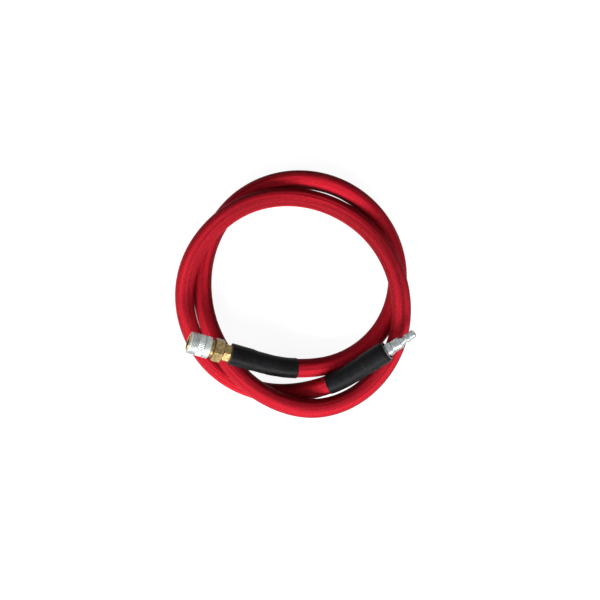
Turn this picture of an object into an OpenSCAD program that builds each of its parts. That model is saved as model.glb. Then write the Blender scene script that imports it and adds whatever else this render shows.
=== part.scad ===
// Air whip hose: one loose coil of rubber hose with a quick coupler on one end
// and a plug on the other. Millimetres, +Z up. The coil lies on the plane z = 0
// and the origin is under the middle of the whole object.

/* [Hose] */
// Outside diameter of the hose
hose_od = 19; // [17:0.25:19]
// Bore of the hose
hose_id = 9.5; // [8.5:0.25:10]
// Wall of the inner liner
liner_wall = 1.6; // [1.2:0.1:2]
// Thickness of the textile braid between liner and cover
braid_wall = 0.6; // [0.4:0.1:0.9]

/* [Hose ends] */
// Straight length of each crimp ferrule
ferrule_length = 22; // [18:1:24]
// Wall of each crimp ferrule
ferrule_wall = 0.5; // [0.4:0.1:0.7]
// Wall of the heat-shrink tube
shrink_wall = 0.65; // [0.5:0.05:0.8]
// Length of heat-shrink on the coupler end
coupler_shrink_length = 66; // [60:1:80]
// Length of heat-shrink on the plug end
plug_shrink_length = 63; // [60:1:80]
// How far the plug's heat-shrink stands past the ferrule
shrink_lip = 3.4; // [2.6:0.2:4]
// How far that open lip draws in
shrink_lip_inset = 1.7; // [1:0.1:2]
// Depth of each barb on the hose tails
barb_depth = 0.5; // [0.3:0.1:0.7]
// Number of barbs on each hose tail
barb_count = 5; // [3:1:6]
// Length of each hose tail inside the hose
tail_length = 21; // [17:1:23]
// Air passage through the hose stem
stem_bore = 6; // [5:0.5:7]

/* [Hexagons and thread] */
// Turn of the hose stem's hexagon about the coupler's axis, where its thread came tight
stem_hex_turn = 4; // [-30:1:30]
// Turn of the coupler back's hexagon
back_hex_turn = -8; // [-30:1:30]
// Across flats of the hose stem's hexagon
stem_hex = 15.875; // [15:0.125:17]
// Length of the hose stem's hexagon
stem_hex_length = 7.85; // [6:0.05:9]
// Across flats of the coupler back's hexagon
back_hex = 20.64; // [19:0.08:22]
// Length of the coupler back's hexagon
back_hex_length = 9.6; // [8.8:0.2:11]
// Mean diameter of the taper thread at its large end
thread_d = 12.8; // [12.4:0.1:13.2]
// Length of the taper thread
thread_length = 5.6; // [4.6:0.2:6]

/* [Coupler] */
// Bore that guides the plug's collar
guide_d = 12; // [11.95:0.01:12.2]
// Length of the guide bore, from its step to the mouth's chamfer
guide_length = 4.5; // [3.5:0.25:5]
// Bore at the locking balls
ball_zone_d = 9.9; // [9.7:0.1:10.1]
// Bore that takes the plug's nose
nose_bore_d = 8.1; // [8:0.02:8.3]
// Outside diameter of the socket body under the sleeve
socket_front_d = 14.1; // [13.9:0.1:14.3]
// Clearance between the socket body and the sleeve's land, which holds the balls in
land_gap = 0.145; // [0.1:0.005:0.2]
// Outside diameter of the socket body's neck
neck_d = 17; // [16.6:0.1:17.4]
// Length of the socket body, from the coupler back to the mouth
socket_length = 25; // [24.7:0.1:26]
// Outside diameter of the locking sleeve
sleeve_d = 21.4; // [20.6:0.2:22]
// Length of the locking sleeve
sleeve_length = 20.6; // [20:0.1:21.4]
// Travel of the locking sleeve, back towards the hose
sleeve_travel = 2.6; // [2.4:0.05:2.7]
// Diameter of a locking ball
ball_d = 3.175; // [3:0.025:3.3]
// How far a ball moves outwards for each millimetre of sleeve travel
ball_ramp = 0.4; // [0.37:0.01:0.4]
// Length of the brass stop ring at the mouth
stop_ring_length = 0.85; // [0.7:0.05:1.2]
// Outside diameter of the stop ring
stop_ring_d = 16.8; // [16.2:0.1:17.6]
// Length of the sleeve's smooth rear band
rear_band_length = 6.3; // [5:0.1:7]
// Length of the sleeve's fluted grip band
grip_length = 6.4; // [5:0.1:7]
// Number of ring grooves on the sleeve's front band
ring_groove_count = 4; // [3:1:5]
// Number of flutes round the sleeve's grip band
flute_count = 40; // [30:1:48]

/* [Valve] */
// Diameter of the valve's head
valve_head_d = 9.8; // [9.4:0.1:10.2]
// Travel of the valve when a plug goes in
valve_travel = 3.5; // [3:0.1:3.6]
// Diameter of the valve's rear guide
valve_guide_d = 3.6; // [3:0.1:3.8]
// Mean diameter of the valve's spring
valve_spring_d = 5.8; // [5.2:0.1:6.4]
// Wire of the valve's spring
valve_wire_d = 0.6; // [0.5:0.05:0.6]
// Turns of the valve's spring
valve_spring_turns = 3.5; // [2.5:0.5:3.5]
// Wire of the sleeve's spring
sleeve_wire_d = 1; // [0.8:0.05:1]
// Turns of the sleeve's spring
sleeve_spring_turns = 4; // [3:0.5:4]

/* [Plug] */
// Diameter of the plug's nose
nose_d = 7.85; // [7.8:0.01:7.95]
// Length of the plug's nose
nose_length = 5.9; // [5.5:0.1:6.5]
// Diameter of the plug's ridge, which the balls hold
ridge_d = 9.1; // [8.8:0.1:9.3]
// Length of the plug's ridge
ridge_length = 4.1; // [3.7:0.1:4.3]
// Diameter of the plug's waist, behind the ridge
waist_d = 6.5; // [6.2:0.1:7]
// Length of the plug's waist
waist_length = 2; // [1.8:0.1:2.4]
// Diameter of the plug's step, at its large end
step_d = 10.2; // [9.8:0.1:10.6]
// Length of the plug's step, which narrows to the waist
step_length = 2.9; // [2.5:0.1:3.3]
// Diameter of the plug's collar
collar_d = 11.84; // [11.8:0.01:11.87]
// Length of the plug's collar
collar_length = 8.7; // [8:0.1:9.4]
// Diameter of the plug's shoulder, next to the hose
shoulder_d = 13.2; // [12.8:0.1:13.6]
// Air passage through the plug
plug_bore = 5; // [4:0.25:5]

/* [Hidden] */

$fn = 64;
eps = 0.01;
ball_count = 4;
// Gap left between pieces that are pressed, screwed or glued together
seat_gap = 0.02;
// Gap left between pieces that slide on each other
slide_gap = 0.15;

// ---- Route of the hose -------------------------------------------------
// Where the coil's centre stands
coil_centre = [-0.4, -3.6];
// Angle of the first point that lies on the coil, and from each to the next
coil_start = 280;
coil_step = 20;
// Radius and height of the hose's axis at every step of the coil
coil_points = [
    [74, 16.5], [81, 10], [89, 9.5], [98, 9.5],
    [106, 9.5], [113, 9.5], [118, 9.5], [121, 9.5], [121, 9.5], [118.5, 9.5],
    [113, 9.5], [105, 9.5], [97.5, 9.5], [92.5, 9.5], [91, 11], [91.5, 18.5],
    [96.5, 28.5], [105, 30], [115.5, 28.5], [119.5, 20.5], [118.5, 16.5],
    [113.5, 23.5], [107, 30.5], [103, 28.5], [101, 20], [100, 11.5],
    [100.5, 11], [101, 20], [102.5, 28], [104, 30], [107.5, 28], [110.5, 18.5],
    [111, 10.5], [109.5, 9.5], [105.5, 9.5], [101.5, 9.5], [97, 13.5]
];
// Each end: place of the hose's end face from the coil's centre, its yaw, its
// tilt above the floor, and the spacing of the straight points behind it
coupler_place = [-60.5, -57, 40.5];
coupler_yaw = 162;
coupler_tilt = 17;
coupler_pitch = 25;
plug_place = [89.5, -56, 38];
plug_yaw = 35;
plug_tilt = 15;
plug_pitch = 27;

function direction(yaw, tilt) = [cos(tilt) * cos(yaw), cos(tilt) * sin(yaw), sin(tilt)];
function on_floor(p) = [p[0] + coil_centre[0], p[1] + coil_centre[1], p[2]];
function unit(v) = v / norm(v);

coupler_axis = direction(coupler_yaw, coupler_tilt);
plug_axis = direction(plug_yaw, plug_tilt);
coupler_base = on_floor(coupler_place);
plug_base = on_floor(plug_place);
// The smooth curve cuts the corners of its points, so they stand out by this much
spread = 3 / (2 + cos(coil_step));

route = concat(
    [for (i = [0:2]) coupler_base - i * coupler_pitch * coupler_axis],
    [for (i = [0:len(coil_points) - 1])
        let (a = coil_start + i * coil_step, r = coil_points[i][0] * spread)
        on_floor([r * cos(a), r * sin(a), coil_points[i][1]])],
    [for (i = [2:-1:0]) plug_base - i * plug_pitch * plug_axis]
);
last = len(route) - 1;

// Route point i, with one more beyond each end so that the curve reaches the ends
function route_point(i) =
    i < 0 ? 2 * route[0] - route[1]
    : i > last ? 2 * route[last] - route[last - 1]
    : route[i];

// Place and direction on the curve at t, which counts the route's points
function curve(t) =
    let (i = max(0, min(last - 1, floor(t))), u = t - i)
    ((1 - u) ^ 3 * route_point(i - 1)
        + (3 * u ^ 3 - 6 * u ^ 2 + 4) * route_point(i)
        + (-3 * u ^ 3 + 3 * u ^ 2 + 3 * u + 1) * route_point(i + 1)
        + u ^ 3 * route_point(i + 2)) / 6;
function heading(t) =
    let (i = max(0, min(last - 1, floor(t))), u = t - i)
    unit(-(1 - u) ^ 2 * route_point(i - 1)
        + (3 * u ^ 2 - 4 * u) * route_point(i)
        + (-3 * u ^ 2 + 2 * u + 1) * route_point(i + 1)
        + u ^ 2 * route_point(i + 2));

// ---- Swept tubes -------------------------------------------------------
// One ring of points round the axis, with its first point towards the left
function ring(place, along, r, sides) =
    let (left = unit(cross([0, 0, 1], along)), up = cross(along, left))
    [for (k = [0:sides - 1])
        place + r * (cos(360 * k / sides) * left + sin(360 * k / sides) * up)];

// Bands of triangles between rings n and n + 1, turned inwards or outwards
function band(first, count, sides, inwards) =
    [for (n = [0:count - 2], k = [0:sides - 1], half = [0, 1])
        let (a = first + n * sides + k, b = first + n * sides + (k + 1) % sides,
            f = half == 0 ? [a, b, b + sides] : [a, b + sides, a + sides])
        inwards ? f : [f[2], f[1], f[0]]];

// End face between the outer and the inner ring
function end_face(outer, inner, sides, back) =
    [for (k = [0:sides - 1], half = [0, 1])
        let (j = (k + 1) % sides,
            f = half == 0 ? [outer + k, outer + j, inner + j] : [outer + k, inner + j, inner + k])
        back ? f : [f[2], f[1], f[0]]];

// Tube through stations [place, direction, inner radius, outer radius]
module swept_tube(stations, sides) {
    n = len(stations);
    outer = [for (s = stations) each ring(s[0], s[1], s[3], sides)];
    inner = [for (s = stations) each ring(s[0], s[1], s[2], sides)];
    far = (n - 1) * sides;
    polyhedron(
        points = concat(outer, inner),
        faces = concat(
            band(0, n, sides, false),
            band(n * sides, n, sides, true),
            end_face(0, n * sides, sides, true),
            end_face(far, n * sides + far, sides, false)
        ),
        convexity = 12
    );
}

// Wire of a coil spring along +Z, from z = 0 to its length
module spring(mean_r, wire_d, length, turns) {
    per_turn = 14;
    wire_sides = 6;
    count = turns * per_turn;
    rise = (length - wire_d) / count;
    rings = [for (i = [0:count])
        let (a = i * 360 / per_turn,
            along = unit([-sin(a), cos(a), rise * per_turn / (2 * PI * mean_r)]),
            out = [cos(a), sin(a), 0],
            up = cross(along, out))
        for (k = [0:wire_sides - 1])
            [mean_r * cos(a), mean_r * sin(a), wire_d / 2 + i * rise]
                + wire_d / 2 * (cos(60 * k) * out + sin(60 * k) * up)];
    polyhedron(
        points = rings,
        faces = concat(
            band(0, count + 1, wire_sides, false),
            [[for (k = [0:wire_sides - 1]) k]],
            [[for (k = [wire_sides - 1:-1:0]) count * wire_sides + k]]
        ),
        convexity = 10
    );
}

// ---- Hose --------------------------------------------------------------
hose_sides = 12;
rings_per_point = 2;
hose_r = hose_od / 2;
// A ring whose flats, and not its corners, stand at the hose's bore
bore_r = hose_id / 2 / cos(180 / hose_sides);
braid_inner_r = hose_id / 2 + liner_wall;
cover_inner_r = braid_inner_r + braid_wall;
hose_stations = [for (i = [0:last * rings_per_point]) i / rings_per_point];

module hose_layer(inner_r, outer_r)
    swept_tube([for (t = hose_stations) [curve(t), heading(t), inner_r, outer_r]], hose_sides);

module hose_liner() color("black") hose_layer(bore_r, braid_inner_r);
module hose_braid() color("whitesmoke") hose_layer(braid_inner_r, cover_inner_r);
module hose_cover() color("crimson") hose_layer(cover_inner_r, hose_r);

// ---- Frames of the two fittings ---------------------------------------
// +Z runs out of the mouth or the nose, and z = 0 is the hose's end face
module at_coupler()
    translate(coupler_base) rotate([0, 90 - coupler_tilt, coupler_yaw]) children();
module at_plug()
    translate(plug_base) rotate([0, 90 - plug_tilt, plug_yaw]) children();

// ---- Shared pieces of the hose ends -----------------------------------
tail_r = hose_id / 2 - 0.05;
// Lip that hooks each ferrule over its tail
ferrule_lip = 0.8;
lip_hole_r = tail_r + seat_gap;
ferrule_inner_r = hose_r + seat_gap;
ferrule_r = ferrule_inner_r + ferrule_wall;
ferrule_front = ferrule_lip + seat_gap;
shrink_sides = 24;
shrink_fit = (ferrule_r + seat_gap) / cos(180 / shrink_sides);
shrink_on_hose = (hose_r + seat_gap) / cos(180 / shrink_sides);
crimp_depth = 0.15;

// Station of a heat-shrink tube, at a place or on the route
function shrink_station(place, along, r) = [place, along, r, r + shrink_wall];
function shrink_at(t, r) = shrink_station(curve(t), heading(t), r);
// Stations past the ferrule stand at the hose's own rings, so that the two nest
function shrink_turns(reach) = [for (t = [1:1 / rings_per_point:reach - 0.1]) t, reach];

// Half outline of a hose tail, from its end up to z = 0
function tail_outline(bore_d) = concat(
    [[bore_d / 2, -tail_length]],
    [for (i = [0:barb_count - 1])
        let (pitch = tail_length / (barb_count + 1), z = -tail_length + i * pitch)
        each [[tail_r - barb_depth, z], [tail_r, z + 0.8 * pitch],
            [tail_r - barb_depth, z + 0.8 * pitch]]],
    [[tail_r - barb_depth, -tail_length / (barb_count + 1)], [tail_r, -1]]
);

// Ferrule with three crimped rings, lip towards +Z
module ferrule() {
    z0 = -ferrule_length;
    rotate_extrude() polygon(concat(
        [[ferrule_inner_r, z0], [ferrule_r, z0]],
        [for (i = [1:3])
            let (z = z0 + i * ferrule_length / 4)
            each [[ferrule_r, z - 2], [ferrule_r - crimp_depth, z - 1.2],
                [ferrule_r - crimp_depth, z + 1.2], [ferrule_r, z + 2]]],
        [[ferrule_r, ferrule_front], [lip_hole_r, ferrule_front],
            [lip_hole_r, seat_gap], [ferrule_inner_r, seat_gap]]
    ));
}

// ---- Places along the coupler -----------------------------------------
stem_hex_z = ferrule_front + seat_gap;
thread_z = stem_hex_z + stem_hex_length;
back_z = thread_z + 0.2;
thread_end = thread_z + thread_length;
web_z = thread_end + 1;
web_thickness = 1;
back_front = back_z + back_hex_length;
socket_z = back_front + seat_gap;
mouth_z = socket_z + socket_length;
mouth_chamfer = 0.6;
guide_z = mouth_z - mouth_chamfer - guide_length;
ball_r = ball_d / 2;
ridge_to_nose = 0.6;
// From the middle of the plug's waist, which the balls hold, to its tip
plug_reach = waist_length / 2 + ridge_length + ridge_to_nose + nose_length;
ball_gap = 0.05;
ball_slack = 0.16;
ball_z = guide_z - ball_r - 0.1;
land_r = socket_front_d / 2 + land_gap;
ball_centre_r = land_r - ball_slack - ball_r;
nose_stop_z = ball_z - waist_length / 2 - ridge_length - 0.5;
seal_section_d = 1.8;
seal_centre_r = nose_d / 2 + seal_section_d / 2 + seat_gap;
seal_z = nose_stop_z - 1.6;
seat_z = nose_stop_z - 4.4;
chamber_r = 5.8;
spigot_r = 6.5;
spigot_bore_r = 5.2;
spigot_length = 3.6;
gasket_thickness = 0.7;
gasket_z = back_front + spigot_length + seat_gap;
chamber_z = gasket_z + gasket_thickness + seat_gap;
valve_washer_thickness = 1.1;
valve_head_thickness = 1.6;
valve_nose_r = 3.3;
washer_z = seat_z - seat_gap - valve_washer_thickness;
head_z = washer_z - seat_gap - valve_head_thickness;
poppet_front_z = ball_z - plug_reach + valve_travel;
valve_spring_z = web_z + web_thickness + seat_gap;
stop_ring_z = mouth_z - stop_ring_length;
sleeve_front = stop_ring_z - 0.1;
sleeve_z = sleeve_front - sleeve_length;
sleeve_land_length = 2.5;
land_z = ball_z - sleeve_land_length;
sleeve_bore_r = neck_d / 2 + slide_gap;
neck_front = sleeve_z + 3.4;

function taper_r(z) = thread_d / 2 - (z - thread_z) / 32;

// ---- Coupler end -------------------------------------------------------
module hex_bar(across_flats, length) {
    corner_r = across_flats / sqrt(3);
    chamfer = 0.1 * across_flats;
    intersection() {
        cylinder(r = corner_r, h = length, $fn = 6);
        rotate_extrude() polygon([
            [0, 0], [corner_r - chamfer, 0], [corner_r, chamfer / sqrt(3)],
            [corner_r, length - chamfer / sqrt(3)], [corner_r - chamfer, length], [0, length]
        ]);
    }
}

module hose_stem() color("darkgoldenrod") at_coupler() {
    difference() {
        union() {
            rotate_extrude() polygon(concat(
                tail_outline(stem_bore),
                [[tail_r, stem_hex_z + 1], [stem_bore / 2, stem_hex_z + 1]]
            ));
            translate([0, 0, stem_hex_z]) rotate(stem_hex_turn) hex_bar(stem_hex, stem_hex_length);
            translate([0, 0, thread_z])
                cylinder(r1 = taper_r(thread_z) - seat_gap, r2 = taper_r(thread_end) - seat_gap,
                    h = thread_length);
        }
        translate([0, 0, -tail_length - 1])
            cylinder(d = stem_bore, h = tail_length + thread_end + 2);
    }
}

module coupler_end_ferrule() color("goldenrod") at_coupler() ferrule();

module coupler_end_heat_shrink() color("#202020")
    swept_tube(concat(
        [shrink_station(coupler_base + ferrule_front * coupler_axis, -coupler_axis, shrink_fit)],
        [shrink_at(ferrule_length / coupler_pitch, shrink_fit)],
        [for (t = shrink_turns(coupler_shrink_length / coupler_pitch)) shrink_at(t, shrink_on_hose)]
    ), shrink_sides);

module coupler_back() color("darkgoldenrod") at_coupler() {
    flow_hole_d = 1.8;
    flow_hole_r = (valve_guide_d + flow_hole_d + 1.8) / 2;
    difference() {
        union() {
            translate([0, 0, back_z]) rotate(back_hex_turn) hex_bar(back_hex, back_hex_length);
            translate([0, 0, back_front - 1]) cylinder(r = spigot_r, h = spigot_length + 1);
        }
        translate([0, 0, back_z - eps])
            cylinder(r1 = taper_r(back_z) + seat_gap, r2 = taper_r(web_z) + seat_gap,
                h = web_z - back_z + eps);
        translate([0, 0, web_z + web_thickness])
            cylinder(r = spigot_bore_r, h = back_front + spigot_length - web_z);
        translate([0, 0, web_z - 1]) cylinder(d = valve_guide_d + 0.2, h = web_thickness + 2);
        for (k = [0:5]) rotate(k * 60) translate([flow_hole_r, 0, web_z - 1])
            cylinder(d = flow_hole_d, h = web_thickness + 2);
    }
}

module body_gasket() color("dimgray") at_coupler()
    translate([0, 0, gasket_z]) difference() {
        cylinder(r = spigot_r - seat_gap, h = gasket_thickness);
        translate([0, 0, -1]) cylinder(r = spigot_bore_r, h = gasket_thickness + 2);
    }

module coupler_socket() color("goldenrod") at_coupler() difference() {
    rotate_extrude() polygon([
        [chamber_r, socket_z], [neck_d / 2, socket_z], [neck_d / 2, neck_front],
        [socket_front_d / 2, neck_front], [socket_front_d / 2, mouth_z],
        [guide_d / 2 + mouth_chamfer / 2, mouth_z], [guide_d / 2, mouth_z - mouth_chamfer],
        [guide_d / 2, guide_z], [ball_zone_d / 2, guide_z], [ball_zone_d / 2, nose_stop_z],
        [nose_bore_d / 2, nose_stop_z], [nose_bore_d / 2, seat_z], [chamber_r, seat_z]
    ]);
    translate([0, 0, socket_z - 1]) cylinder(r = spigot_r + seat_gap, h = chamber_z - socket_z + 1);
    translate([0, 0, seal_z - seal_section_d / 2 - 0.1])
        cylinder(r = seal_centre_r + seal_section_d / 2 + seat_gap, h = seal_section_d + 0.2);
    for (k = [0:ball_count - 1]) rotate(k * 360 / ball_count) translate([0, 0, ball_z]) {
        translate([ball_centre_r, 0, 0]) sphere(r = ball_r + ball_gap);
        translate([ball_centre_r, 0, 0]) rotate([0, 90, 0])
            cylinder(r = ball_r + ball_gap, h = socket_front_d);
    }
}

module plug_seal() color("#303030") at_coupler()
    translate([0, 0, seal_z]) rotate_extrude() translate([seal_centre_r, 0]) circle(d = seal_section_d);

module valve_poppet() color("goldenrod") at_coupler() difference() {
    slot_width = 1.6;
    slot_depth = 1.1;
    rotate_extrude() polygon([
        [0, web_z + 0.3], [valve_guide_d / 2 - 0.3, web_z + 0.3], [valve_guide_d / 2, web_z + 0.6],
        [valve_guide_d / 2, head_z], [valve_head_d / 2, head_z],
        [valve_head_d / 2, washer_z - seat_gap], [valve_nose_r, washer_z - seat_gap],
        [valve_nose_r, poppet_front_z], [0, poppet_front_z]
    ]);
    for (k = [0:1]) rotate(k * 90)
        translate([-valve_nose_r - 1, -slot_width / 2, poppet_front_z - slot_depth])
            cube([2 * valve_nose_r + 2, slot_width, slot_depth + 1]);
}

module valve_washer() color("#303030") at_coupler()
    translate([0, 0, washer_z]) difference() {
        cylinder(d = valve_head_d, h = valve_washer_thickness);
        translate([0, 0, -1]) cylinder(r = valve_nose_r + seat_gap, h = valve_washer_thickness + 2);
    }

module valve_spring() color("silver") at_coupler()
    translate([0, 0, valve_spring_z])
        spring(valve_spring_d / 2, valve_wire_d, head_z - seat_gap - valve_spring_z,
            valve_spring_turns);

// Locking sleeve: land over the balls, then a ramp that lets them out
module locking_sleeve() color("silver") at_coupler() {
    out_r = sleeve_d / 2;
    ramp_length = sleeve_travel + 0.6;
    ramp_end_r = land_r + ramp_length * ball_ramp;
    lip_z = ball_z + sleeve_travel + ball_r + 0.2;
    lip_r = stop_ring_d / 2 - 0.6;
    chamfer = 0.75;
    grip_z = sleeve_z + rear_band_length;
    groove = 0.3;
    front_band = sleeve_front - chamfer - grip_z - grip_length;
    difference() {
        rotate_extrude() polygon([
            [sleeve_bore_r, sleeve_z], [out_r - 0.4, sleeve_z], [out_r, sleeve_z + 0.4],
            [out_r, sleeve_front - chamfer], [out_r - chamfer, sleeve_front],
            [lip_r, sleeve_front], [lip_r, lip_z], [ramp_end_r, lip_z],
            [ramp_end_r, ball_z + ramp_length], [land_r, ball_z],
            [land_r, land_z], [sleeve_bore_r, land_z]
        ]);
        for (i = [1:ring_groove_count])
            translate([0, 0, grip_z + grip_length + i * front_band / (ring_groove_count + 1)])
                rotate_extrude() polygon([
                    [out_r - groove, 0], [out_r + 1, -groove - 1], [out_r + 1, groove + 1]
                ]);
        for (z = [grip_z, grip_z + grip_length]) translate([0, 0, z]) rotate_extrude() polygon([
            [out_r - groove, -groove], [out_r + 1, -groove], [out_r + 1, groove], [out_r - groove, groove]
        ]);
        for (k = [0:flute_count - 1]) rotate(k * 360 / flute_count)
            translate([out_r + 0.1, 0, grip_z]) cylinder(r = 0.5, h = grip_length);
    }
}

module sleeve_spring() color("silver") at_coupler()
    translate([0, 0, neck_front + seat_gap])
        spring((sleeve_bore_r + socket_front_d / 2) / 2, sleeve_wire_d,
            land_z - neck_front - 2 * seat_gap, sleeve_spring_turns);

module sleeve_stop_ring() color("goldenrod") at_coupler()
    rotate_extrude() polygon([
        [socket_front_d / 2 + seat_gap, stop_ring_z], [stop_ring_d / 2, stop_ring_z],
        [stop_ring_d / 2, mouth_z - 0.5], [stop_ring_d / 2 - 0.5, mouth_z],
        [socket_front_d / 2 + seat_gap, mouth_z]
    ]);

module locking_ball(number) color("silver") at_coupler()
    rotate((number - 1) * 360 / ball_count) translate([ball_centre_r, 0, ball_z]) sphere(d = ball_d);

// ---- Plug end ----------------------------------------------------------
shoulder_z = ferrule_front + seat_gap;
shoulder_length = 9.6;
collar_z = shoulder_z + shoulder_length + 0.6;
step_z = collar_z + collar_length + 0.6;
waist_z = step_z + step_length;
ridge_z = waist_z + waist_length;
nose_z = ridge_z + ridge_length + ridge_to_nose;
tip_z = nose_z + nose_length;

module plug_stem() color("silver") at_plug()
    rotate_extrude() polygon(concat(
        tail_outline(plug_bore),
        [[tail_r, shoulder_z], [shoulder_d / 2, shoulder_z],
            [shoulder_d / 2, shoulder_z + shoulder_length - 3],
            [collar_d / 2, shoulder_z + shoulder_length],
            [collar_d / 2 - 0.4, shoulder_z + shoulder_length + 0.1],
            [collar_d / 2 - 0.4, collar_z - 0.1],
            [collar_d / 2, collar_z], [collar_d / 2, collar_z + collar_length],
            [collar_d / 2 - 0.6, collar_z + collar_length + 0.1],
            [step_d / 2, step_z], [waist_d / 2 + 0.4, waist_z], [waist_d / 2, waist_z + 0.6],
            [waist_d / 2, ridge_z], [ridge_d / 2, ridge_z + 1],
            [ridge_d / 2, ridge_z + ridge_length - 1],
            [nose_d / 2 - 0.35, nose_z - 0.4], [nose_d / 2 - 0.35, nose_z - 0.05],
            [nose_d / 2, nose_z], [nose_d / 2, tip_z - 0.6], [nose_d / 2 - 0.6, tip_z],
            [plug_bore / 2 + 0.2, tip_z], [plug_bore / 2, tip_z - 0.2]]
    ));

module plug_end_ferrule() color("goldenrod") at_plug() ferrule();

module plug_end_heat_shrink() color("#202020") {
    turns = shrink_turns(plug_shrink_length / plug_pitch);
    swept_tube(concat(
        [for (i = [len(turns) - 1:-1:0]) shrink_at(last - turns[i], shrink_on_hose)],
        [shrink_at(last - ferrule_length / plug_pitch, shrink_fit)],
        [shrink_station(plug_base + ferrule_front * plug_axis, plug_axis, shrink_fit)],
        [shrink_station(plug_base + (ferrule_front + shrink_lip) * plug_axis, plug_axis,
            shrink_fit - shrink_lip_inset)]
    ), shrink_sides);
}

hose_liner();
hose_braid();
hose_cover();
hose_stem();
coupler_end_ferrule();
coupler_end_heat_shrink();
coupler_back();
body_gasket();
coupler_socket();
plug_seal();
valve_poppet();
valve_washer();
valve_spring();
locking_sleeve();
sleeve_spring();
sleeve_stop_ring();
locking_ball(1);  // locking_ball_1
locking_ball(2);  // locking_ball_2
locking_ball(3);  // locking_ball_3
locking_ball(4);  // locking_ball_4
plug_stem();
plug_end_ferrule();
plug_end_heat_shrink();
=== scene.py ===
"""Looks of the coiled air hose: red hose, two heat-shrink tubes, quick coupler and plug."""

import math

import bpy
from mathutils import Matrix, Vector, noise


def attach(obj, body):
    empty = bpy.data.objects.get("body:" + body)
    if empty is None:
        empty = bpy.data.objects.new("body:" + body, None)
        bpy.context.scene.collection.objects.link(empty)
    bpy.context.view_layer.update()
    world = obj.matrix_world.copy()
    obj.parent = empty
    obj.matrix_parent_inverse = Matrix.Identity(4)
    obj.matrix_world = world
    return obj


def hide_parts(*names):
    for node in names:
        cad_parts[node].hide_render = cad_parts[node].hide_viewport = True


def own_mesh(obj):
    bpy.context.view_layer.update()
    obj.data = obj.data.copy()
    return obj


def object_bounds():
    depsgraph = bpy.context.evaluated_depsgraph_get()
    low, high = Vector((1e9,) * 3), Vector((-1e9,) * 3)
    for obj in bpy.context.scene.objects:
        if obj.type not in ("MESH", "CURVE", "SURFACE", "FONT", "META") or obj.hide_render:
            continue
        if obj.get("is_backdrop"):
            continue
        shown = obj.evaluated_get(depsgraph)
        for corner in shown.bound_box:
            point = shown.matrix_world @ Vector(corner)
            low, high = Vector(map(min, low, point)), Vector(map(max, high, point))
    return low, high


MM = 0.001
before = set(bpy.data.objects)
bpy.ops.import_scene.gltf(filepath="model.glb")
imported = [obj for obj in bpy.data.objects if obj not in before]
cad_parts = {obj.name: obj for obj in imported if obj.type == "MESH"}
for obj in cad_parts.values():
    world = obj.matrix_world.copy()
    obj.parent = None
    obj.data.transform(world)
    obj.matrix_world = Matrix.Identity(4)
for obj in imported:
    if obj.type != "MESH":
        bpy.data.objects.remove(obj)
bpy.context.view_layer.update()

# ---- Camera: straight down on the coil, at the photograph's distance ---------
FRAME_PX = 600
FOCAL_PX = 590.5
SENSOR_MM = 36
camera_data = bpy.data.cameras.new("camera")
camera_data.sensor_width = SENSOR_MM
camera_data.lens = SENSOR_MM * FOCAL_PX / FRAME_PX
camera_data.clip_start = 10 * MM
camera = bpy.data.objects.new("camera", camera_data)
camera.location = Vector((6.7, -7.8, 618)) * MM
bpy.context.scene.collection.objects.link(camera)
bpy.context.scene.camera = camera

# ---- Route of the hose, as in the part's source (mm, degrees) ----------------
COIL_CENTRE = Vector((-0.4, -3.6, 0))
COIL_START = 280
COIL_STEP = 20
COIL_POINTS = [
    (74, 16.5), (81, 10), (89, 9.5), (98, 9.5),
    (106, 9.5), (113, 9.5), (118, 9.5), (121, 9.5), (121, 9.5), (118.5, 9.5),
    (113, 9.5), (105, 9.5), (97.5, 9.5), (92.5, 9.5), (91, 11), (91.5, 18.5),
    (96.5, 28.5), (105, 30), (115.5, 28.5), (119.5, 20.5), (118.5, 16.5),
    (113.5, 23.5), (107, 30.5), (103, 28.5), (101, 20), (100, 11.5),
    (100.5, 11), (101, 20), (102.5, 28), (104, 30), (107.5, 28), (110.5, 18.5),
    (111, 10.5), (109.5, 9.5), (105.5, 9.5), (101.5, 9.5), (97, 13.5),
]
COUPLER_PLACE = Vector((-60.5, -57, 40.5))
COUPLER_YAW, COUPLER_TILT, COUPLER_PITCH = 162, 17, 25
PLUG_PLACE = Vector((89.5, -56, 38))
PLUG_YAW, PLUG_TILT, PLUG_PITCH = 35, 15, 27
HOSE_R = 9.5
COVER_INNER_R = 6.95
FERRULE_LENGTH = 22
FERRULE_R = 10.02
FERRULE_FRONT = 0.82

# ---- Sizes that shapes and materials share (mm along each fitting's axis) --------
SHRINK_WALL = 0.65
COUPLER_SHRINK_LENGTH, PLUG_SHRINK_LENGTH = 66, 63
COUPLER_LIP, PLUG_LIP = FERRULE_FRONT, FERRULE_FRONT + 3.4
PLUG_LIP_INSET = 1.7
SLEEVE_R, SLEEVE_Z, SLEEVE_FRONT = 10.7, 21.96, 42.56
SLEEVE_CHAMFER = 0.75
GRIP_Z, GRIP_END = SLEEVE_Z + 6.3, SLEEVE_Z + 12.7
RING_GROOVES = 4
RING_PITCH = (SLEEVE_FRONT - SLEEVE_CHAMFER - GRIP_END) / (RING_GROOVES + 1)
RING_HEIGHTS = [GRIP_END + i * RING_PITCH for i in range(1, RING_GROOVES + 1)]


def direction(yaw, tilt):
    yaw, tilt = math.radians(yaw), math.radians(tilt)
    return Vector((math.cos(tilt) * math.cos(yaw), math.cos(tilt) * math.sin(yaw), math.sin(tilt)))


def end_frame(base, yaw, tilt):
    """Frame of a fitting in mm: +Z out of its mouth or nose, z = 0 at the hose's end face."""
    turn = Matrix.Rotation(math.radians(yaw), 4, "Z") @ Matrix.Rotation(math.radians(90 - tilt), 4, "Y")
    return Matrix.Translation(base) @ turn


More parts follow.
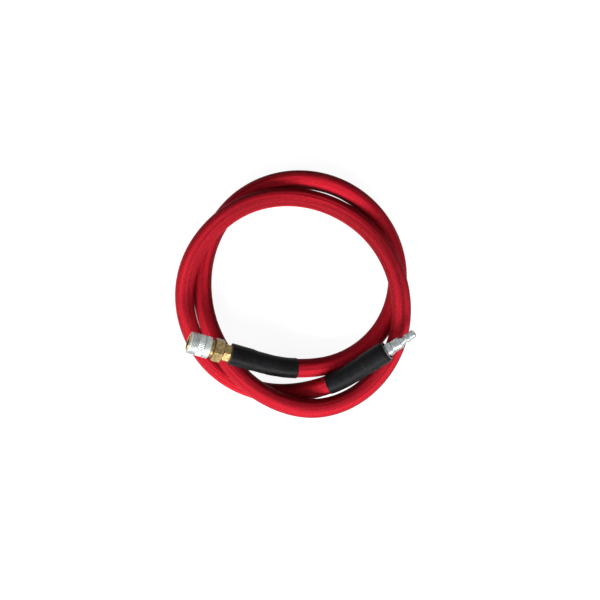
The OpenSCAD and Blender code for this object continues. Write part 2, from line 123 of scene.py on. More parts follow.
coupler_axis = direction(COUPLER_YAW, COUPLER_TILT)
plug_axis = direction(PLUG_YAW, PLUG_TILT)
coupler_base = COIL_CENTRE + COUPLER_PLACE
plug_base = COIL_CENTRE + PLUG_PLACE
coupler_frame = end_frame(coupler_base, COUPLER_YAW, COUPLER_TILT)
plug_frame = end_frame(plug_base, PLUG_YAW, PLUG_TILT)


def coil_point(number):
    """A route point; the smooth curve cuts the corners, so the points stand out a little."""
    spread = 3 / (2 + math.cos(math.radians(COIL_STEP)))
    radius, height = COIL_POINTS[number]
    angle = math.radians(COIL_START + number * COIL_STEP)
    out = radius * spread
    return COIL_CENTRE + Vector((out * math.cos(angle), out * math.sin(angle), height))


route = [coupler_base - i * COUPLER_PITCH * coupler_axis for i in range(3)]
route += [coil_point(i) for i in range(len(COIL_POINTS))]
route += [plug_base - i * PLUG_PITCH * plug_axis for i in (2, 1, 0)]
LAST = len(route) - 1


def route_point(i):
    if i < 0:
        return 2 * route[0] - route[1]
    if i > LAST:
        return 2 * route[LAST] - route[LAST - 1]
    return route[i]


def curve(t):
    """Place on the hose's axis; t counts the route's points."""
    i = max(0, min(LAST - 1, math.floor(t)))
    u = t - i
    weights = ((1 - u) ** 3, 3 * u**3 - 6 * u**2 + 4, -3 * u**3 + 3 * u**2 + 3 * u + 1, u**3)
    return sum((w * route_point(i - 1 + k) for k, w in enumerate(weights)), Vector()) / 6


def heading(t):
    step = 0.001
    return (curve(min(LAST, t + step)) - curve(max(0, t - step))).normalized()


# ---- Meshes --------------------------------------------------------------------
CORNER_RADIUS = 0.15


def add_piece(name, points, faces, material, sharp, coords=None):
    """Object of points in mm, with its UV coordinates where there are any, sharp above that angle."""
    mesh = bpy.data.meshes.new(name)
    mesh.from_pydata([p * MM for p in points], [], faces)
    if coords:
        mesh.uv_layers.new(name="UVMap").data.foreach_set("uv", coords)
    mesh.polygons.foreach_set("use_smooth", [True] * len(faces))
    mesh.set_sharp_from_angle(angle=math.radians(sharp))
    mesh.materials.append(material)
    mesh.validate()
    piece = bpy.data.objects.new(name, mesh)
    bpy.context.scene.collection.objects.link(piece)
    return piece


def ring(place, along, radii):
    """Points round an axis, the first one towards its left."""
    left = Vector((0, 0, 1)).cross(along).normalized()
    up = along.cross(left)
    sides = len(radii)
    points = []
    for k, r in enumerate(radii):
        a = 2 * math.pi * k / sides
        points.append(place + r * (math.cos(a) * left + math.sin(a) * up))
    return points


def ring_mesh(name, rings, material, along=None, sharp=35):
    """Closed skin over rings of points, the last joined to the first. along gives each ring's U."""
    sides = len(rings[0])
    count = len(rings)
    points = [p for one in rings for p in one]
    faces = []
    coords = []
    for i in range(count):
        j = (i + 1) % count
        for k in range(sides):
            m = (k + 1) % sides
            faces.append((i * sides + k, i * sides + m, j * sides + m, j * sides + k))
            if along:
                low, high = k / sides, (k + 1) / sides
                coords += [along[i], low, along[i], high, along[j], high, along[j], low]
    return add_piece(name, points, faces, material, sharp, coords)


def soften(outline, radius, steps=3):
    """The closed outline (r, z) with each sharp corner rounded, and repeated points dropped."""
    rounded = []
    count = len(outline)
    for i, corner in enumerate(outline):
        here = Vector(corner)
        before = Vector(outline[i - 1]) - here
        after = Vector(outline[(i + 1) % count]) - here
        if before.length < 1e-6 or after.length < 1e-6:
            continue
        if before.angle(after) > math.radians(165):
            rounded.append(tuple(here))
            continue
        cut = min(radius, 0.4 * before.length, 0.4 * after.length)
        start, end = here + before.normalized() * cut, here + after.normalized() * cut
        for s in range(steps + 1):
            u = s / steps
            rounded.append(tuple((1 - u) ** 2 * start + 2 * u * (1 - u) * here + u**2 * end))
    return rounded


def lathe(name, outline, place, material, sides=120, shape=None, radius=CORNER_RADIUS):
    """Turned piece: a closed outline (r, z) round the fitting's axis. shape changes r by angle and z."""
    rings = []
    for r, z in soften(outline, radius):
        one = []
        for k in range(sides):
            a = 2 * math.pi * k / sides
            here = shape(a, r, z) if shape else r
            one.append(place @ Vector((here * math.cos(a), here * math.sin(a), z)))
        rings.append(one)
    return ring_mesh(name, rings, material)


def coil_spring(name, mean_r, wire_d, low, high, turns, place, material):
    """Spring of round wire from one height to another, with flat wire ends."""
    per_turn, sides = 32, 12
    count = int(turns * per_turn)
    wire_r = wire_d / 2
    climb = high - low - wire_d
    rise = climb / (2 * math.pi * turns * mean_r)
    points = []
    for i in range(count + 1):
        a = 2 * math.pi * i / per_turn
        out = Vector((math.cos(a), math.sin(a), 0))
        along = Vector((-math.sin(a), math.cos(a), rise)).normalized()
        up = along.cross(out)
        centre = mean_r * out + Vector((0, 0, low + wire_r + climb * i / count))
        for k in range(sides):
            turn = 2 * math.pi * k / sides
            points.append(place @ (centre + wire_r * (math.cos(turn) * out - math.sin(turn) * up)))
    faces = []
    for i in range(count):
        here, there = i * sides, (i + 1) * sides
        for k in range(sides):
            m = (k + 1) % sides
            faces.append((here + k, here + m, there + m, there + k))
    faces += [tuple(range(sides))[::-1], tuple(count * sides + k for k in range(sides))]
    return add_piece(name, points, faces, material, 50)


def hexagon(across_flats, low, high):
    """Keeps r within a hexagon with barely rounded corners, between two heights."""
    corner = across_flats / math.sqrt(3) - 0.13
    sixth = math.radians(60)

    def shape(a, r, z):
        if r < across_flats * 0.47 or not low - 0.01 <= z <= high + 0.01:
            return r
        off = (a + sixth / 2) % sixth - sixth / 2
        return min(r, across_flats / 2 / math.cos(sixth / 2 - abs(off)), corner)
    return shape


def hexagon_side(across_flats, low, high):
    """Outline of a hexagon bar's side, chamfered at both ends in small steps."""
    corner = across_flats / math.sqrt(3)
    chamfer = 0.1 * across_flats
    steps = 10
    slope = []
    for i in range(steps + 1):
        done = i / steps
        slope.append((corner - chamfer * (1 - done), done * chamfer / math.sqrt(3)))
    return [(r, low + z) for r, z in slope] + [(r, high - z) for r, z in reversed(slope)]


# ---- Node materials -----------------------------------------------------------
class Look:
    """A material with a Principled shader and helpers that add nodes to it."""

    def __init__(self, name, base, roughness, metallic=0.0, **sockets):
        self.material = bpy.data.materials.new(name)
        self.material.use_nodes = True
        self.tree = self.material.node_tree
        self.shader = self.tree.nodes["Principled BSDF"]
        self.set("Base Color", (*base, 1))
        self.set("Roughness", roughness)
        self.set("Metallic", metallic)
        for socket, value in sockets.items():
            self.set(socket.replace("_", " "), value)

    def set(self, socket, value):
        target = self.shader.inputs[socket]
        if isinstance(value, bpy.types.NodeSocket):
            self.tree.links.new(value, target)
        else:
            target.default_value = value

    def node(self, kind, settings=None, **inputs):
        """A new node. inputs are set or linked by name, or by number as i0, i1 and so on."""
        made = self.tree.nodes.new(kind)
        for key, value in (settings or {}).items():
            setattr(made, key, value)
        for key, value in inputs.items():
            numbered = key[0] == "i" and key[1:].isdigit()
            socket = made.inputs[int(key[1:])] if numbered else made.inputs[key]
            if isinstance(value, bpy.types.NodeSocket):
                self.tree.links.new(value, socket)
            else:
                socket.default_value = value
        return made

    def math(self, operation, a, b=0.0):
        return self.node("ShaderNodeMath", {"operation": operation}, i0=a, i1=b).outputs[0]

    def ramp(self, value, low, high, to_low, to_high):
        """value from low..high stretched to to_low..to_high, and held within them."""
        made = self.node("ShaderNodeMapRange", None, Value=value)
        limits = (("From Min", low), ("From Max", high), ("To Min", to_low), ("To Max", to_high))
        for key, number in limits:
            made.inputs[key].default_value = number
        return made.outputs[0]

    def mix(self, factor, a, b):
        made = self.node("ShaderNodeMix", {"data_type": "RGBA"})
        for socket, value in ((made.inputs[0], factor), (made.inputs[6], a), (made.inputs[7], b)):
            if isinstance(value, bpy.types.NodeSocket):
                self.tree.links.new(value, socket)
            else:
                socket.default_value = (*value, 1)
        return made.outputs[2]

    def noise(self, vector, scale, detail=3.0, roughness=0.55):
        made = self.node("ShaderNodeTexNoise", None, Vector=vector, Scale=scale, Detail=detail,
                         Roughness=roughness)
        return made.outputs["Fac"]

    def stretched(self, vector, scale):
        """vector times scale, axis by axis."""
        made = self.node("ShaderNodeVectorMath", {"operation": "MULTIPLY"}, i0=vector, i1=scale)
        return made.outputs[0]

    def bump(self, height, distance, strength=1.0, normal=None):
        made = self.node("ShaderNodeBump", None, Height=height, Distance=distance, Strength=strength)
        if normal is not None:
            self.tree.links.new(normal, made.inputs["Normal"])
        return made.outputs["Normal"]

    def row_place(self):
        """The point in the row frame, in metres: every piece's own coordinates."""
        return self.node("ShaderNodeTexCoord").outputs["Object"]

    def fitting_place(self, base, yaw, tilt):
        """The point in a fitting's frame, in metres."""
        made = self.node("ShaderNodeMapping", {"vector_type": "TEXTURE"}, Vector=self.row_place())
        made.inputs["Location"].default_value = base * MM
        made.inputs["Rotation"].default_value = (0, math.radians(90 - tilt), math.radians(yaw))
        return made.outputs[0]


COUPLER_END = (coupler_base, COUPLER_YAW, COUPLER_TILT)
PLUG_END = (plug_base, PLUG_YAW, PLUG_TILT)


WEAVE_STRANDS = 24


def hose_look():
    """Red cover with a fine crossed weave, painted glints on the weave's yarn and painted lengthwise
    reflection streaks; UV runs along the hose and once round it.
    """
    look = Look("hose_red", (0.5, 0.006, 0.014), 0.45, Specular_IOR_Level=0.02)
    uv = look.node("ShaderNodeUVMap").outputs[0]
    split = look.node("ShaderNodeSeparateXYZ", None, Vector=uv)
    along, around = split.outputs[0], split.outputs[1]
    angle = look.math("MULTIPLY", around, 2 * math.pi)
    across, up = look.math("COSINE", angle), look.math("SINE", angle)

    def wrapped(per_turn, per_length):
        """Noise space that closes round the hose, so that no seam shows."""
        x = look.math("MULTIPLY", across, per_turn)
        y = look.math("MULTIPLY", up, per_turn)
        z = look.math("MULTIPLY", along, per_length)
        return look.node("ShaderNodeCombineXYZ", None, X=x, Y=y, Z=z).outputs[0]

    strands = WEAVE_STRANDS * 2 * math.pi
    first = look.math("SINE", look.math("MULTIPLY", look.math("ADD", along, around), strands))
    second = look.math("SINE", look.math("MULTIPLY", look.math("SUBTRACT", along, around), strands))
    weave = look.math("MULTIPLY", first, second)
    grain = look.noise(wrapped(10, 60), 1.0, 4)
    streaks = look.noise(wrapped(1.5, 0.15), 1.0, 1)
    fine_streaks = look.noise(wrapped(4, 0.5), 1.0, 2)
    # Random grain tone plus lengthwise bands painted lighter and darker, which stand in for reflections of
    # the strip lights.
    tone = look.math("ADD", look.math("MULTIPLY", grain, 0.15), look.math("MULTIPLY", streaks, 0.55))
    tone = look.math("ADD", tone, look.math("MULTIPLY", fine_streaks, 0.3))
    grain_and_painted_streaks = look.ramp(tone, 0.43, 0.57, 0.0, 1.0)
    ground = look.mix(grain_and_painted_streaks, (0.17, 0.0005, 0.006), (0.53, 0.006, 0.022))
    # Weave pattern with a painted highlight: the yarn peaks are painted lighter and pinker, standing in for
    # glints of light on the weave.
    weave_and_painted_glints = look.ramp(look.math("ADD", weave, look.math("MULTIPLY", grain, 0.8)), 0.4, 1.3, 0.0, 0.65)
    look.set("Base Color", look.mix(weave_and_painted_glints, ground, (0.82, 0.065, 0.075)))
    look.set("Roughness", look.ramp(grain, 0.3, 0.7, 0.38, 0.54))
    ridges = look.bump(look.math("ADD", streaks, fine_streaks), 1.8 * MM, 0.7)
    look.set("Normal", look.bump(weave, 0.22 * MM, 0.8, ridges))
    return look.material


def shrink_look(name, end, lip, rim_highlight):
    """Black heat-shrink: matt, faintly wrinkled, dusty, with a painted highlight of strength rim_highlight on
    the cut rim at height lip.
    """
    look = Look(name, (0.012, 0.012, 0.013), 0.40, Specular_IOR_Level=0.07)
    place = look.row_place()
    fine = look.noise(place, 900, 5)
    broad = look.noise(place, 70, 3)
    height = look.node("ShaderNodeSeparateXYZ", None, Vector=look.fitting_place(*end)).outputs[2]
    mottle = look.math("ADD", look.math("MULTIPLY", fine, 0.6), look.math("MULTIPLY", broad, 0.4))
    dust = look.ramp(mottle, 0.4, 0.62, 0, 1)
    rubber = look.mix(dust, (0.0025, 0.0025, 0.003), (0.009, 0.0095, 0.0105))
    # Painted highlight: the cut rim at height lip is painted pale grey where it catches the light.
    painted_rim_highlight = look.ramp(height, (lip - 0.5) * MM, (lip - 0.3) * MM, 0, rim_highlight)
    look.set("Base Color", look.mix(painted_rim_highlight, rubber, (0.30, 0.30, 0.31)))
    look.set("Roughness", look.ramp(broad, 0.3, 0.7, 0.36, 0.52))
    look.set("Normal", look.bump(fine, 0.06 * MM, 0.6, look.bump(broad, 0.8 * MM, 0.6)))
    return look.material


def turned_look(name, end, dark, light, roughness, groove=0.03, grooves=(), bore=0):
    """Turned metal: tool lines as deep as groove, blotches, painted shade at the heights in grooves and
    painted shade inside the bore.
    """
    look = Look(name, light, roughness, 1.0)
    place = look.fitting_place(*end)
    tool_lines = look.noise(look.stretched(place, (20, 20, 9000)), 1.0, 2)
    blotches = look.noise(place, 320, 4)
    specks = look.noise(place, 1800, 3)
    wear = look.math("ADD", look.math("MULTIPLY", blotches, 0.5), look.math("MULTIPLY", specks, 0.2))
    wear = look.math("ADD", wear, look.math("MULTIPLY", tool_lines, 0.3))
    colour = look.mix(look.ramp(wear, 0.40, 0.60, 0, 1), dark, light)
    split = look.node("ShaderNodeSeparateXYZ", None, Vector=place)
    # Painted shade: the base colour is darkened to near black at the heights of the grooves and inside the
    # bore, where shade falls.
    painted_shade_marks = []
    for z in grooves:
        off = look.math("ABSOLUTE", look.math("SUBTRACT", split.outputs[2], z * MM))
        painted_shade_marks.append(look.ramp(off, 0.08 * MM, 0.3 * MM, 0.6, 0))
    if bore:
        flat = look.node("ShaderNodeCombineXYZ", None, X=split.outputs[0], Y=split.outputs[1])
        length = look.node("ShaderNodeVectorMath", {"operation": "LENGTH"}, i0=flat.outputs[0])
        painted_shade_marks.append(look.ramp(length.outputs["Value"], (bore + 0.02) * MM, (bore + 0.12) * MM, 0.95, 0))
    if painted_shade_marks:
        painted_shade = painted_shade_marks[0]
        for shade_mark in painted_shade_marks[1:]:
            painted_shade = look.math("MAXIMUM", painted_shade, shade_mark)
        # Near-black colour of the painted shade in grooves and bore.
        colour = look.mix(painted_shade, colour, (0.025, 0.02, 0.015))
    look.set("Base Color", colour)
    look.set("Roughness", look.ramp(wear, 0.35, 0.65, roughness + 0.12, roughness - 0.05))
    look.set("Normal", look.bump(specks, 0.03 * MM, 0.4, look.bump(tool_lines, groove * MM, 0.5)))
    return look.material


def rubber_look():
    look = Look("black_rubber", (0.012, 0.012, 0.012), 0.6, Specular_IOR_Level=0.4)
    grain = look.noise(look.row_place(), 1500, 4)
    look.set("Roughness", look.ramp(grain, 0.3, 0.7, 0.5, 0.7))
    look.set("Normal", look.bump(grain, 0.03 * MM, 0.5))
    return look.material


def braid_look():
    look = Look("white_textile", (0.72, 0.70, 0.62), 0.9, Sheen_Weight=0.3)
    threads = look.noise(look.stretched(look.row_place(), (1400, 1400, 300)), 1.0, 2)
    look.set("Base Color", look.mix(threads, (0.45, 0.43, 0.37), (0.8, 0.78, 0.7)))
    look.set("Normal", look.bump(threads, 0.2 * MM, 0.7))
    return look.material


def wire_look(name, base, roughness):
    look = Look(name, base, roughness, 1.0)
    scratches = look.noise(look.row_place(), 2500, 4)
    look.set("Roughness", look.ramp(scratches, 0.3, 0.7, roughness - 0.05, roughness + 0.12))
    look.set("Normal", look.bump(scratches, 0.01 * MM, 0.4))
    return look.material


BRASS_DARK, BRASS_LIGHT = (0.13, 0.088, 0.036), (0.30, 0.22, 0.10)
hose_red = hose_look()
coupler_shrink_black = shrink_look("coupler_shrink_black", COUPLER_END, COUPLER_LIP, 0.1)
plug_shrink_black = shrink_look("plug_shrink_black", PLUG_END, PLUG_LIP, 1.0)
# grooves and bore set where turned_look paints shade into the brass and zinc.
coupler_brass = turned_look("coupler_brass", COUPLER_END, BRASS_DARK, BRASS_LIGHT, 0.42,
                            grooves=(8.8, 18.5), bore=6)
mouth_brass = turned_look("mouth_brass", COUPLER_END, (0.30, 0.18, 0.05), (0.62, 0.43, 0.17), 0.22)
plug_brass = turned_look("plug_brass", PLUG_END, BRASS_DARK, BRASS_LIGHT, 0.3)
coupler_zinc = turned_look("coupler_zinc", COUPLER_END, (0.29, 0.315, 0.31), (0.48, 0.515, 0.505), 0.44,
                           groove=0.05, grooves=[GRIP_Z, GRIP_END] + RING_HEIGHTS)
plug_zinc = turned_look("plug_zinc", PLUG_END, (0.20, 0.23, 0.235), (0.42, 0.46, 0.46), 0.24,
                        grooves=(5, 10.75, 20, 24.2, 29.7), bore=2.5)
black_rubber = rubber_look()
white_textile = braid_look()
spring_steel = wire_look("spring_steel", (0.55, 0.55, 0.57), 0.3)
ball_steel = wire_look("ball_steel", (0.7, 0.7, 0.72), 0.12)

NODE_LOOKS = {
    "hose_liner": black_rubber, "hose_braid": white_textile,
    "coupler_end_ferrule": coupler_brass, "plug_end_ferrule": plug_brass,
    "coupler_socket": coupler_brass, "valve_poppet": coupler_brass,
    "body_gasket": black_rubber, "plug_seal": black_rubber, "valve_washer": black_rubber,
}
for number in range(1, 5):
    NODE_LOOKS[f"locking_ball_{number}"] = ball_steel
for name, look in NODE_LOOKS.items():
    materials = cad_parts[name].data.materials
    materials.clear()
    materials.append(look)

# ---- Hose ----------------------------------------------------------------------
HOSE_SIDES = 64
STATIONS_PER_POINT = 10
CIRCUMFERENCE = 2 * math.pi * HOSE_R


def hose_rings():
    """Rings of the cover's outside there, and of its inside back again, with each one's U."""
    stations = [i / STATIONS_PER_POINT for i in range(LAST * STATIONS_PER_POINT + 1)]
    places = [curve(t) for t in stations]
    lengths = [0.0]
    for a, b in zip(places, places[1:]):
        lengths.append(lengths[-1] + (b - a).length)
    rings, along = [], []
    for t, place, length in zip(stations, places, lengths):
        rings.append(ring(place, heading(t), [HOSE_R] * HOSE_SIDES))
        along.append(length / CIRCUMFERENCE)
    # The inside is hidden, so it needs a ring only at each route point
    for i in range(len(stations) - 1, -1, -STATIONS_PER_POINT):
        rings.append(ring(places[i], heading(stations[i]), [COVER_INNER_R] * HOSE_SIDES))
        along.append(lengths[i] / CIRCUMFERENCE)
    return rings, along, places


rings, along, centreline = hose_rings()
hose = ring_mesh("hose", rings, hose_red, along, sharp=50)
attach(hose, "hose_set")
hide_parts("hose_cover")

# ---- Heat-shrink tubes ---------------------------------------------------------
SHRINK_SIDES = 96


def shrink_tube(name, base, axis, far, sign, pitch, reach, lip, lip_inset, material, seed):
    """Tube shrunk over ferrule and hose: wrinkles, a soft step off the ferrule, and a lip drawn in.

    far is the route point at the fitting and sign the way along the route from it; pitch is the
    distance of the straight route points. d counts in mm from the hose's end face, back along it.
    """
    stations = []
    length = reach + lip
    count = 110
    for i in range(count + 1):
        d = -lip + length * i / count
        t = d / pitch
        place = base - axis * d if t < 1 else curve(far + sign * t)
        along_here = -sign * axis if t < 1 else heading(far + sign * t)
        stations.append((d, place, along_here))
    outer, inner = [], []
    shift = Vector((seed * 7.3, seed * 3.1, seed * 5.7))
    for d, place, along_here in stations:
        on_ferrule = 1 / (1 + math.exp((d - FERRULE_LENGTH - 1) / 0.8))
        core = HOSE_R + 0.06 + on_ferrule * (FERRULE_R - HOSE_R)
        past = max(0, -d - FERRULE_FRONT) / max(0.01, lip - FERRULE_FRONT)
        drawn_in = lip_inset * past - 0.35 * max(0, past - 0.75) / 0.25
        tail = math.exp(-(reach - d) / 2)
        radii, bores = [], []
        for k in range(SHRINK_SIDES):
            a = 2 * math.pi * k / SHRINK_SIDES
            spot = Vector((math.cos(a) * 1.3, math.sin(a) * 1.3, d / 11)) + shift
            wrinkle = 0.16 * noise.noise(spot) + 0.12 * noise.noise(spot * 2.7)
            nick = 0.25 * tail * noise.noise(Vector((math.cos(a) * 3, math.sin(a) * 3, 9)) + shift)
            uneven = 0.12 * past * math.sin(2 * a + seed)
            radii.append(core + SHRINK_WALL + wrinkle * (1 - 0.3 * on_ferrule) - drawn_in + uneven + nick)
            bores.append(core + 0.03 - drawn_in + uneven)
        outer.append(ring(place, along_here, radii))
        inner.append(ring(place, along_here, bores))
    if sign < 0:
        outer, inner = outer[::-1], inner[::-1]
    return ring_mesh(name, outer + inner[::-1], material, sharp=40)


coupler_shrink = shrink_tube("coupler_shrink", coupler_base, coupler_axis, 0, 1, COUPLER_PITCH,
                             COUPLER_SHRINK_LENGTH, COUPLER_LIP, 0, coupler_shrink_black, seed=1)
plug_shrink = shrink_tube("plug_shrink", plug_base, plug_axis, LAST, -1, PLUG_PITCH,
                          PLUG_SHRINK_LENGTH, PLUG_LIP, PLUG_LIP_INSET, plug_shrink_black, seed=4)
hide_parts("coupler_end_heat_shrink")
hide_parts("plug_end_heat_shrink")
for piece in (coupler_shrink, plug_shrink):
    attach(piece, "hose_set")

# ---- Coupler and plug: heights in mm along each fitting's axis ----------------------
STEM_HEX, STEM_HEX_Z, THREAD_Z, THREAD_END = 15.875, 0.84, 8.69, 14.29
BACK_HEX, BACK_Z, WEB_Z, BACK_FRONT = 20.64, 8.89, 15.29, 18.49
STEM_HEX_TURN, BACK_HEX_TURN = 4, -8
HEX_SIDES = 240
STEM_BORE_R = 3
SOCKET_SEAT_R, GASKET_SEAT_R, VALVE_GUIDE_R, SOCKET_SEAT_DEPTH = 6.5, 5.2, 1.9, 3.6
SLEEVE_LIP_Z, LAND_Z, BALL_Z, BALL_RAMP_LENGTH = 41.11, 34.22, 36.72, 3.2
SLEEVE_BORE_R, SLEEVE_MOUTH_R, BALL_ROOM_R, LAND_R = 8.65, 7.8, 8.475, 7.195
RING_Z, MOUTH_Z, RING_R, RING_BORE_R = 42.66, 43.51, 8.4, 7.07
TAIL_R, TAIL_LENGTH, BARBS = 4.7, 21, 5


def tail(bore):
    """Outline of a barbed hose tail, from its end up to z = 0."""
    pitch = TAIL_LENGTH / (BARBS + 1)
    points = [(bore, -TAIL_LENGTH)]
    for i in range(BARBS):
        z = -TAIL_LENGTH + i * pitch
        points += [(TAIL_R - 0.5, z), (TAIL_R, z + 0.8 * pitch), (TAIL_R - 0.5, z + 0.8 * pitch)]
    return points + [(TAIL_R - 0.5, -pitch), (TAIL_R, -1)]


def turned(degrees, place):
    return place @ Matrix.Rotation(math.radians(degrees), 4, "Z")


hose_stem = lathe(
    "hose_stem_hexagon",
    tail(STEM_BORE_R) + [(TAIL_R, STEM_HEX_Z)] + hexagon_side(STEM_HEX, STEM_HEX_Z, THREAD_Z)
    + [(6.35, THREAD_Z), (6.2, THREAD_END), (STEM_BORE_R, THREAD_END)],
    turned(STEM_HEX_TURN, coupler_frame), coupler_brass, sides=HEX_SIDES,
    shape=hexagon(STEM_HEX, STEM_HEX_Z, THREAD_Z))
back_hexagon = lathe(
    "coupler_back_hexagon",
    [(6.42, BACK_Z)] + hexagon_side(BACK_HEX, BACK_Z, BACK_FRONT)
    + [(SOCKET_SEAT_R, BACK_FRONT), (SOCKET_SEAT_R, BACK_FRONT + SOCKET_SEAT_DEPTH),
       (GASKET_SEAT_R, BACK_FRONT + SOCKET_SEAT_DEPTH), (GASKET_SEAT_R, WEB_Z + 1),
       (VALVE_GUIDE_R, WEB_Z + 1), (VALVE_GUIDE_R, WEB_Z), (6.22, WEB_Z)],
    turned(BACK_HEX_TURN, coupler_frame), coupler_brass, sides=HEX_SIDES,
    shape=hexagon(BACK_HEX, BACK_Z, BACK_FRONT))

FLUTES = 40


def fluted(a, r, z):
    """Fine straight knurl round the sleeve's grip band."""
    if r < SLEEVE_R - 0.2 or not GRIP_Z + 0.35 < z < GRIP_END - 0.35:
        return r
    return r - 0.34 * abs(math.cos(FLUTES * a / 2)) ** 3


def sleeve_groove(z, half_top, half_floor, depth):
    """Outline of a groove round the sleeve, centred at a height."""
    return [(SLEEVE_R, z - half_top), (SLEEVE_R - depth, z - half_floor),
            (SLEEVE_R - depth, z + half_floor), (SLEEVE_R, z + half_top)]


def sleeve_outline():
    """Up the outside past the grip band and the ring grooves, and down the inside past lip, ramp and land."""
    outline = [(SLEEVE_BORE_R, SLEEVE_Z), (SLEEVE_R - 0.4, SLEEVE_Z), (SLEEVE_R, SLEEVE_Z + 0.4)]
    outline += sleeve_groove(GRIP_Z, 0.3, 0.25, 0.3)
    outline += [(SLEEVE_R, GRIP_Z + 0.8), (SLEEVE_R, GRIP_END - 0.8)]
    outline += sleeve_groove(GRIP_END, 0.3, 0.25, 0.3)
    for z in RING_HEIGHTS:
        outline += sleeve_groove(z, 0.4, 0.06, 0.4)
    return outline + [
        (SLEEVE_R, SLEEVE_FRONT - SLEEVE_CHAMFER), (SLEEVE_R - SLEEVE_CHAMFER, SLEEVE_FRONT),
        (SLEEVE_MOUTH_R, SLEEVE_FRONT), (SLEEVE_MOUTH_R, SLEEVE_LIP_Z),
        (BALL_ROOM_R, SLEEVE_LIP_Z), (BALL_ROOM_R, BALL_Z + BALL_RAMP_LENGTH),
        (LAND_R, BALL_Z), (LAND_R, LAND_Z), (SLEEVE_BORE_R, LAND_Z)]


sleeve = lathe("locking_sleeve_knurled", sleeve_outline(), coupler_frame, coupler_zinc,
               sides=FLUTES * 8, shape=fluted, radius=0.12)
stop_ring = lathe(
    "mouth_ring",
    [(RING_BORE_R, RING_Z), (RING_R, RING_Z), (RING_R, MOUTH_Z - 0.5), (RING_R - 0.5, MOUTH_Z),
     (RING_BORE_R, MOUTH_Z)],
    coupler_frame, mouth_brass, radius=0.2)

SHOULDER_R, COLLAR_R, STEP_R, WAIST_R = 6.6, 5.92, 5.1, 3.25
RIDGE_R, NOSE_R, PLUG_BORE_R = 4.55, 3.925, 2.5
SHOULDER_Z, COLLAR_Z, STEP_Z, WAIST_Z = 0.84, 11.04, 20.34, 23.24
RIDGE_Z, NOSE_Z, TIP_Z = 25.24, 29.94, 35.84
plug = lathe(
    "plug_turned",
    tail(PLUG_BORE_R) + [
        (TAIL_R, SHOULDER_Z), (SHOULDER_R, SHOULDER_Z), (SHOULDER_R, COLLAR_Z - 3.6),
        (COLLAR_R, COLLAR_Z - 0.6), (COLLAR_R - 0.4, COLLAR_Z - 0.5), (COLLAR_R - 0.4, COLLAR_Z - 0.1),
        (COLLAR_R, COLLAR_Z), (COLLAR_R, STEP_Z - 0.6), (COLLAR_R - 0.6, STEP_Z - 0.5),
        (STEP_R, STEP_Z), (WAIST_R + 0.4, WAIST_Z),
        (WAIST_R, WAIST_Z + 0.6), (WAIST_R, RIDGE_Z), (RIDGE_R, RIDGE_Z + 1), (RIDGE_R, RIDGE_Z + 3.1),
        (NOSE_R - 0.35, NOSE_Z - 0.4), (NOSE_R - 0.35, NOSE_Z - 0.05), (NOSE_R, NOSE_Z),
        (NOSE_R, TIP_Z - 0.6), (NOSE_R - 0.6, TIP_Z), (PLUG_BORE_R + 0.2, TIP_Z),
        (PLUG_BORE_R, TIP_Z - 0.2)],
    plug_frame, plug_zinc, sides=160, radius=0.25)

# Each spring stands on its low end and reaches up to its high end; the joint and travel in each row are not
# used.
SLEEVE_TRAVEL, VALVE_TRAVEL = 2.6, 3.5
springs = {}
for node, joint, travel, mean_r, wire_d, low, high, turns in (
    ("sleeve_spring", "sleeve_slide", SLEEVE_TRAVEL, 7.85, 1, 25.38, 34.2, 4),
    ("valve_spring", "valve_slide", VALVE_TRAVEL, 2.9, 0.6, 16.31, 23.96, 3.5),
):
    springs[node] = coil_spring(node + "_coils", mean_r, wire_d, low, high, turns, coupler_frame,
                                spring_steel)
    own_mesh(springs[node])

for piece, node, body, slot in (
    (springs["sleeve_spring"], "sleeve_spring", "hose_set", "spring_steel"),
    (springs["valve_spring"], "valve_spring", "hose_set", "spring_steel"),
    (hose_stem, "hose_stem", "hose_set", "brass"),
    (back_hexagon, "coupler_back", "hose_set", "brass"),
    (sleeve, "locking_sleeve", "sleeve", "zinc_steel"),
    (stop_ring, "sleeve_stop_ring", "hose_set", "brass"),
    (plug, "plug_stem", "hose_set", "zinc_steel"),
):
    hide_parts(node)
    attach(piece, body)

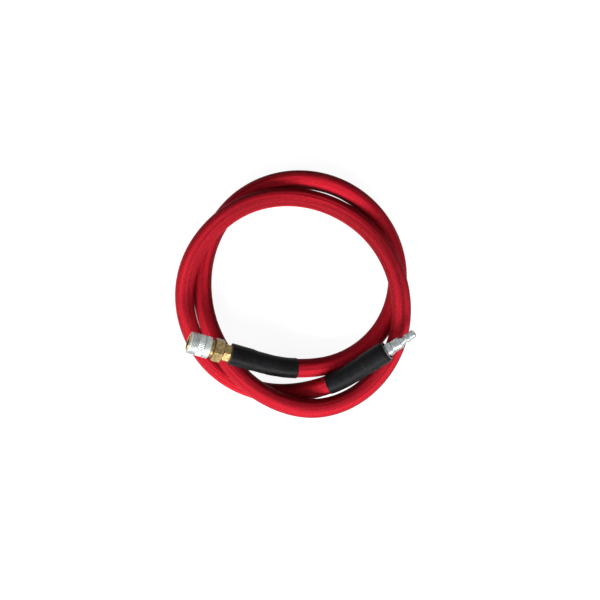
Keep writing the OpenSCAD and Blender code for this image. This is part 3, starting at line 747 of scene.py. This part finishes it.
# ---- Floor, lamps and backdrop ---------------------------------------------------
FLOOR_HALF = 3.0
FLOOR_DROP = 0.0002
FLOOR_GREY = 0.25
FLOOR_GLOW = 0.92
floor_mesh = bpy.data.meshes.new("floor")
floor_corners = [(-FLOOR_HALF, -FLOOR_HALF, 0), (FLOOR_HALF, -FLOOR_HALF, 0),
                 (FLOOR_HALF, FLOOR_HALF, 0), (-FLOOR_HALF, FLOOR_HALF, 0)]
floor_mesh.from_pydata(floor_corners, [], [(0, 1, 2, 3)])
floor = bpy.data.objects.new("floor", floor_mesh)
floor.location.z = -FLOOR_DROP
bpy.context.scene.collection.objects.link(floor)
floor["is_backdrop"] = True


def seen_directly(tree):
    """1 for what the camera, gloss or glass sees, 0 for what only lights the scene."""
    path = tree.nodes.new("ShaderNodeLightPath")
    total = None
    for ray in ("Is Camera Ray", "Is Glossy Ray", "Is Transmission Ray"):
        if total is None:
            total = path.outputs[ray]
            continue
        joined = tree.nodes.new("ShaderNodeMath")
        joined.operation = "MAXIMUM"
        tree.links.new(total, joined.inputs[0])
        tree.links.new(path.outputs[ray], joined.inputs[1])
        total = joined.outputs[0]
    return total


floor_look = bpy.data.materials.new("floor_white")
floor_look.use_nodes = True
tree = floor_look.node_tree
shader = tree.nodes["Principled BSDF"]
shader.inputs["Base Color"].default_value = (FLOOR_GREY, FLOOR_GREY, FLOOR_GREY, 1)
shader.inputs["Roughness"].default_value = 0.9
shader.inputs["Specular IOR Level"].default_value = 0.0
shader.inputs["Emission Color"].default_value = (1, 1, 1, 1)
glow = tree.nodes.new("ShaderNodeMath")
glow.operation = "MULTIPLY"
glow.inputs[1].default_value = FLOOR_GLOW
tree.links.new(seen_directly(tree), glow.inputs[0])
tree.links.new(glow.outputs[0], shader.inputs["Emission Strength"])
floor_mesh.materials.append(floor_look)

world = bpy.data.worlds.new("world")
bpy.context.scene.world = world
world.use_nodes = True
tree = world.node_tree
ambient = tree.nodes["Background"]
ambient.inputs[0].default_value = (0.9, 0.95, 1.0, 1)
ambient.inputs[1].default_value = 0.05
white = tree.nodes.new("ShaderNodeBackground")
white.inputs[0].default_value = (1, 1, 1, 1)
white.inputs[1].default_value = 1.0
chooser = tree.nodes.new("ShaderNodeMixShader")
tree.links.new(seen_directly(tree), chooser.inputs[0])
tree.links.new(ambient.outputs[0], chooser.inputs[1])
tree.links.new(white.outputs[0], chooser.inputs[2])
tree.links.new(chooser.outputs[0], tree.nodes["World Output"].inputs[0])


def lamp(name, place, size, watts):
    """Soft box at place, in metres, aimed at the coil's middle."""
    data = bpy.data.lights.new(name, "AREA")
    data.shape = "RECTANGLE"
    data.size, data.size_y = size
    data.energy = watts
    made = bpy.data.objects.new(name, data)
    made.location = place
    made.rotation_euler = (-Vector(place)).to_track_quat("-Z", "Y").to_euler()
    bpy.context.scene.collection.objects.link(made)


lamp("key", (-0.1, -1.05, 0.68), (2.0, 0.45), 33)
lamp("left", (-1.15, -0.4, 0.6), (0.4, 1.2), 8)
lamp("right", (1.15, -0.4, 0.6), (0.4, 1.2), 5)

bpy.context.scene.view_settings.view_transform = "Standard"

low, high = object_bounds()
